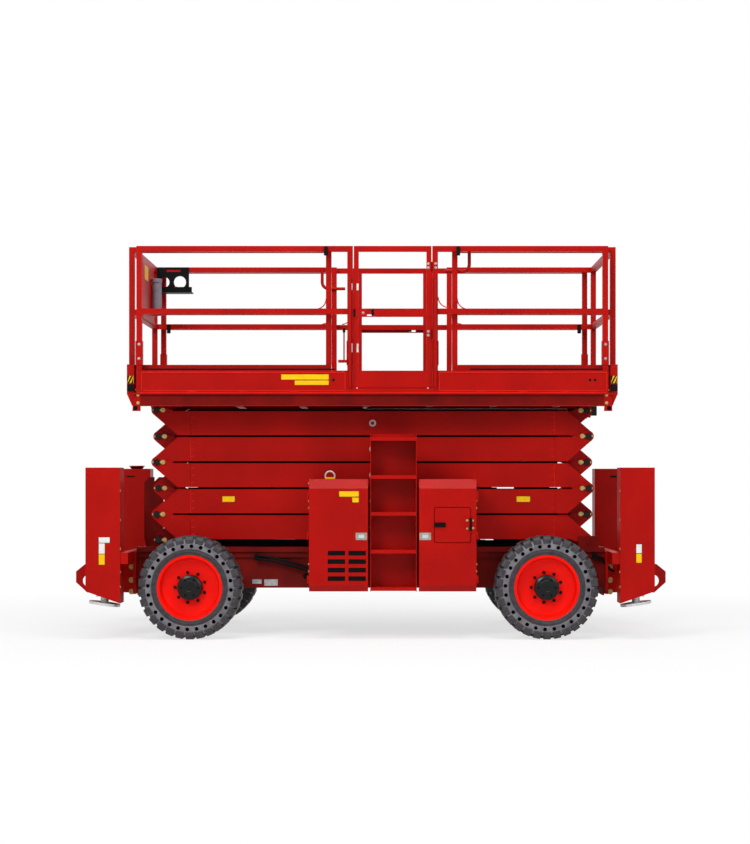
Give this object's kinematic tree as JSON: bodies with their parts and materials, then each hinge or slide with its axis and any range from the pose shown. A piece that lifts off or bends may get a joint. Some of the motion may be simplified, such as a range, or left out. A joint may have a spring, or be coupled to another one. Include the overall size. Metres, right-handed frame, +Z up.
{
  "type": "rough-terrain scissor lift",
  "caption": "Self-propelled scissor lift with railed platform, roll-out decks, stowed arm stack, outriggers and solid tyres.",
  "frame": {"origin": "on the ground at the middle of the machine's length and width", "axes": "+X along the machine to the right in side view, +Y away from the near side, +Z up"},
  "size_m": [4.88, 2.29, 3.177],
  "materials": {
    "red_paint": "semi-gloss",
    "dark_red_paint": "semi-gloss",
    "wheel_red": "gloss",
    "tyre": "matt rubber",
    "black_paint": "satin",
    "cylinder_black": "satin",
    "chrome_rod": "polished",
    "galvanised": "zinc plated",
    "grey_plastic": "moulded",
    "shoe_plastic": "wear pad"
  },
  "bodies": {
    "chassis": {"chassis_frame": "dark_red_paint", "front_axle": "dark_red_paint", "rear_axle": "dark_red_paint", "module_tray_left_near": "red_paint", "module_tray_left_far": "red_paint", "module_tray_right_near": "red_paint", "module_tray_right_far": "red_paint", "access_ladders": "red_paint", "outrigger_frame_left": "red_paint", "outrigger_frame_right": "red_paint", "engine_block": "black_paint", "oil_tank": "black_paint"},
    "inner_arm_1": {"inner_arm_1": "red_paint"},
    "outer_arm_1": {"outer_arm_1": "red_paint"},
    "inner_arm_2": {"inner_arm_2": "red_paint"},
    "outer_arm_2": {"outer_arm_2": "red_paint"},
    "inner_arm_3": {"inner_arm_3": "red_paint"},
    "outer_arm_3": {"outer_arm_3": "red_paint"},
    "inner_arm_4": {"inner_arm_4": "red_paint"},
    "outer_arm_4": {"outer_arm_4": "red_paint"},
    "inner_arm_5": {"inner_arm_5": "red_paint"},
    "outer_arm_5": {"outer_arm_5": "red_paint"},
    "lower_shoe": {"lower_shoe": "shoe_plastic"},
    "upper_shoe": {"upper_shoe": "shoe_plastic"},
    "platform": {"platform_bed": "red_paint", "main_rails": "red_paint"},
    "lift_barrel_1": {"lift_barrel_1": "cylinder_black"},
    "lift_rod_1": {"lift_rod_1": "chrome_rod"},
    "lift_barrel_2": {"lift_barrel_2": "cylinder_black"},
    "lift_rod_2": {"lift_rod_2": "chrome_rod"},
    "knuckle_near": {"knuckle_near": "dark_red_paint"},
    "wheel_front_near": {"rim_front_near": "wheel_red", "tyre_front_near": "tyre"},
    "wheel_rear_near": {"rim_rear_near": "wheel_red", "tyre_rear_near": "tyre"},
    "knuckle_far": {"knuckle_far": "dark_red_paint"},
    "wheel_front_far": {"rim_front_far": "wheel_red", "tyre_front_far": "tyre"},
    "wheel_rear_far": {"rim_rear_far": "wheel_red", "tyre_rear_far": "tyre"},
    "tie_rod": {"tie_rod": "dark_red_paint"},
    "outrigger_leg_left_near": {"outrigger_leg_left_near": "galvanised"},
    "outrigger_leg_left_far": {"outrigger_leg_left_far": "galvanised"},
    "outrigger_leg_right_near": {"outrigger_leg_right_near": "galvanised"},
    "outrigger_leg_right_far": {"outrigger_leg_right_far": "galvanised"},
    "module_cover_left_near": {"module_cover_left_near": "red_paint"},
    "module_cover_left_far": {"module_cover_left_far": "red_paint"},
    "module_cover_right_near": {"module_cover_right_near": "red_paint"},
    "module_cover_right_far": {"module_cover_right_far": "red_paint"},
    "control_door": {"control_door": "red_paint"},
    "gate_near": {"gate_near": "red_paint"},
    "gate_far": {"gate_far": "red_paint"},
    "extension_left": {"extension_deck_left": "red_paint", "extension_rail_left": "red_paint", "controller_holder": "black_paint", "document_tube": "grey_plastic"},
    "extension_right": {"extension_deck_right": "red_paint", "extension_rail_right": "red_paint"}
  },
  "joints": [
    {"name": "scissor_lift", "type": "hinge", "parent": "chassis", "child": "inner_arm_1", "pos_m": [-1.7665, 0, 0.779], "axis": [0, -1, 0], "range_deg": [0, 54.5]},
    {"name": "centre_pin_1", "type": "hinge", "parent": "inner_arm_1", "child": "outer_arm_1", "pos_m": [0.015, 0, 0.8865], "axis": [0, -1, 0], "range_deg": [-109.2, 0]},
    {"name": "end_pin_1", "type": "hinge", "parent": "inner_arm_1", "child": "inner_arm_2", "pos_m": [1.7965, 0, 0.994], "axis": [0, -1, 0], "range_deg": [-109.2, 0]},
    {"name": "centre_pin_2", "type": "hinge", "parent": "inner_arm_2", "child": "outer_arm_2", "pos_m": [0.015, 0, 1.1015], "axis": [0, -1, 0], "range_deg": [0, 109.2]},
    {"name": "end_pin_2", "type": "hinge", "parent": "inner_arm_2", "child": "inner_arm_3", "pos_m": [-1.7665, 0, 1.209], "axis": [0, -1, 0], "range_deg": [0, 109.2]},
    {"name": "centre_pin_3", "type": "hinge", "parent": "inner_arm_3", "child": "outer_arm_3", "pos_m": [0.015, 0, 1.3165], "axis": [0, -1, 0], "range_deg": [-109.2, 0]},
    {"name": "end_pin_3", "type": "hinge", "parent": "inner_arm_3", "child": "inner_arm_4", "pos_m": [1.7965, 0, 1.424], "axis": [0, -1, 0], "range_deg": [-109.2, 0]},
    {"name": "centre_pin_4", "type": "hinge", "parent": "inner_arm_4", "child": "outer_arm_4", "pos_m": [0.015, 0, 1.5315], "axis": [0, -1, 0], "range_deg": [0, 109.2]},
    {"name": "end_pin_4", "type": "hinge", "parent": "inner_arm_4", "child": "inner_arm_5", "pos_m": [-1.7665, 0, 1.639], "axis": [0, -1, 0], "range_deg": [0, 109.2]},
    {"name": "centre_pin_5", "type": "hinge", "parent": "inner_arm_5", "child": "outer_arm_5", "pos_m": [0.015, 0, 1.7465], "axis": [0, -1, 0], "range_deg": [-109.2, 0]},
    {"name": "lower_shoe_pin", "type": "hinge", "parent": "outer_arm_1", "child": "lower_shoe", "pos_m": [1.7965, 0, 0.779], "axis": [0, -1, 0], "range_deg": [0, 54.7]},
    {"name": "upper_shoe_pin", "type": "hinge", "parent": "inner_arm_5", "child": "upper_shoe", "pos_m": [1.7965, 0, 1.854], "axis": [0, -1, 0], "range_deg": [-54.7, 0]},
    {"name": "platform_pin", "type": "hinge", "parent": "outer_arm_5", "child": "platform", "pos_m": [-1.7665, 0, 1.854], "axis": [0, -1, 0], "range_deg": [0, 54.7]},
    {"name": "barrel_pin_1", "type": "hinge", "parent": "inner_arm_1", "child": "lift_barrel_1", "pos_m": [-0.91138, 0, 0.8306], "axis": [0, -1, 0], "range_deg": [0, 7.37]},
    {"name": "rod_slide_1", "type": "slide", "parent": "lift_barrel_1", "child": "lift_rod_1", "axis": [0.9962, 0, 0.0873], "range_m": [0, 0.74989]},
    {"name": "barrel_pin_2", "type": "hinge", "parent": "inner_arm_3", "child": "lift_barrel_2", "pos_m": [-0.91138, 0, 1.2606], "axis": [0, -1, 0], "range_deg": [0, 7.37]},
    {"name": "rod_slide_2", "type": "slide", "parent": "lift_barrel_2", "child": "lift_rod_2", "axis": [0.9962, 0, 0.0873], "range_m": [0, 0.74989]},
    {"name": "steer_near", "type": "hinge", "parent": "chassis", "child": "knuckle_near", "pos_m": [-1.445, -0.77, 0.415], "axis": [0, 0, 1], "range_deg": [-27, 27]},
    {"name": "spin_front_near", "type": "hinge", "parent": "knuckle_near", "child": "wheel_front_near", "pos_m": [-1.445, -0.995, 0.415], "axis": [0, 1, 0], "continuous": true},
    {"name": "spin_rear_near", "type": "hinge", "parent": "chassis", "child": "wheel_rear_near", "pos_m": [1.415, -0.995, 0.415], "axis": [0, 1, 0], "continuous": true},
    {"name": "steer_far", "type": "hinge", "parent": "chassis", "child": "knuckle_far", "pos_m": [-1.445, 0.77, 0.415], "axis": [0, 0, 1], "range_deg": [-27, 27]},
    {"name": "spin_front_far", "type": "hinge", "parent": "knuckle_far", "child": "wheel_front_far", "pos_m": [-1.445, 0.995, 0.415], "axis": [0, 1, 0], "continuous": true},
    {"name": "spin_rear_far", "type": "hinge", "parent": "chassis", "child": "wheel_rear_far", "pos_m": [1.415, 0.995, 0.415], "axis": [0, 1, 0], "continuous": true},
    {"name": "tie_rod_end", "type": "hinge", "parent": "knuckle_near", "child": "tie_rod", "pos_m": [-1.235, -0.77, 0.333], "axis": [0, 0, 1], "range_deg": [-27.5, 27.5]},
    {"name": "jack_left_near", "type": "slide", "parent": "chassis", "child": "outrigger_leg_left_near", "axis": [0, 0, -1], "range_m": [0, 0.45]},
    {"name": "jack_left_far", "type": "slide", "parent": "chassis", "child": "outrigger_leg_left_far", "axis": [0, 0, -1], "range_m": [0, 0.45]},
    {"name": "jack_right_near", "type": "slide", "parent": "chassis", "child": "outrigger_leg_right_near", "axis": [0, 0, -1], "range_m": [0, 0.45]},
    {"name": "jack_right_far", "type": "slide", "parent": "chassis", "child": "outrigger_leg_right_far", "axis": [0, 0, -1], "range_m": [0, 0.45]},
    {"name": "cover_hinge_left_near", "type": "hinge", "parent": "chassis", "child": "module_cover_left_near", "pos_m": [-0.499, -1.121, 0.8], "axis": [0, 0, -1], "range_deg": [0, 100]},
    {"name": "cover_hinge_left_far", "type": "hinge", "parent": "chassis", "child": "module_cover_left_far", "pos_m": [-0.499, 1.121, 0.8], "axis": [0, 0, 1], "range_deg": [0, 100]},
    {"name": "cover_hinge_right_near", "type": "hinge", "parent": "chassis", "child": "module_cover_right_near", "pos_m": [0.86, -1.121, 0.8], "axis": [0, 0, 1], "range_deg": [0, 100]},
    {"name": "cover_hinge_right_far", "type": "hinge", "parent": "chassis", "child": "module_cover_right_far", "pos_m": [0.86, 1.121, 0.8], "axis": [0, 0, -1], "range_deg": [0, 100]},
    {"name": "control_door_hinge", "type": "hinge", "parent": "module_cover_right_near", "child": "control_door", "pos_m": [0.8045, -1.136, 0.917], "axis": [0, 0, 1], "range_deg": [0, 110]},
    {"name": "gate_hinge_near", "type": "hinge", "parent": "platform", "child": "gate_near", "pos_m": [0.499, -0.843, 2.737], "axis": [0, 0, -1], "range_deg": [0, 90]},
    {"name": "gate_hinge_far", "type": "hinge", "parent": "platform", "child": "gate_far", "pos_m": [-0.139, 0.843, 2.737], "axis": [0, 0, -1], "range_deg": [0, 90]},
    {"name": "extension_slide_left", "type": "slide", "parent": "platform", "child": "extension_left", "axis": [-1, 0, 0], "range_m": [0, 1.3]},
    {"name": "extension_slide_right", "type": "slide", "parent": "platform", "child": "extension_right", "axis": [1, 0, 0], "range_m": [0, 1]}
  ],
  "couplings": [
    {"joint": "centre_pin_1", "follows": "scissor_lift", "ratio": -2},
    {"joint": "end_pin_1", "follows": "scissor_lift", "ratio": -2},
    {"joint": "centre_pin_2", "follows": "scissor_lift", "ratio": 2},
    {"joint": "end_pin_2", "follows": "scissor_lift", "ratio": 2},
    {"joint": "centre_pin_3", "follows": "scissor_lift", "ratio": -2},
    {"joint": "end_pin_3", "follows": "scissor_lift", "ratio": -2},
    {"joint": "centre_pin_4", "follows": "scissor_lift", "ratio": 2},
    {"joint": "end_pin_4", "follows": "scissor_lift", "ratio": 2},
    {"joint": "centre_pin_5", "follows": "scissor_lift", "ratio": -2},
    {"joint": "lower_shoe_pin", "follows": "scissor_lift", "ratio": 1},
    {"joint": "upper_shoe_pin", "follows": "scissor_lift", "ratio": -1},
    {"joint": "platform_pin", "follows": "scissor_lift", "ratio": 1},
    {"joint": "barrel_pin_1", "follows": "scissor_lift", "ratio": 0.13149},
    {"joint": "rod_slide_1", "follows": "scissor_lift", "m_per_rad": 0.78625},
    {"joint": "barrel_pin_2", "follows": "scissor_lift", "ratio": 0.13149},
    {"joint": "rod_slide_2", "follows": "scissor_lift", "m_per_rad": 0.78625},
    {"joint": "steer_far", "follows": "steer_near", "ratio": 1},
    {"joint": "tie_rod_end", "follows": "steer_near", "ratio": -1}
  ]
}
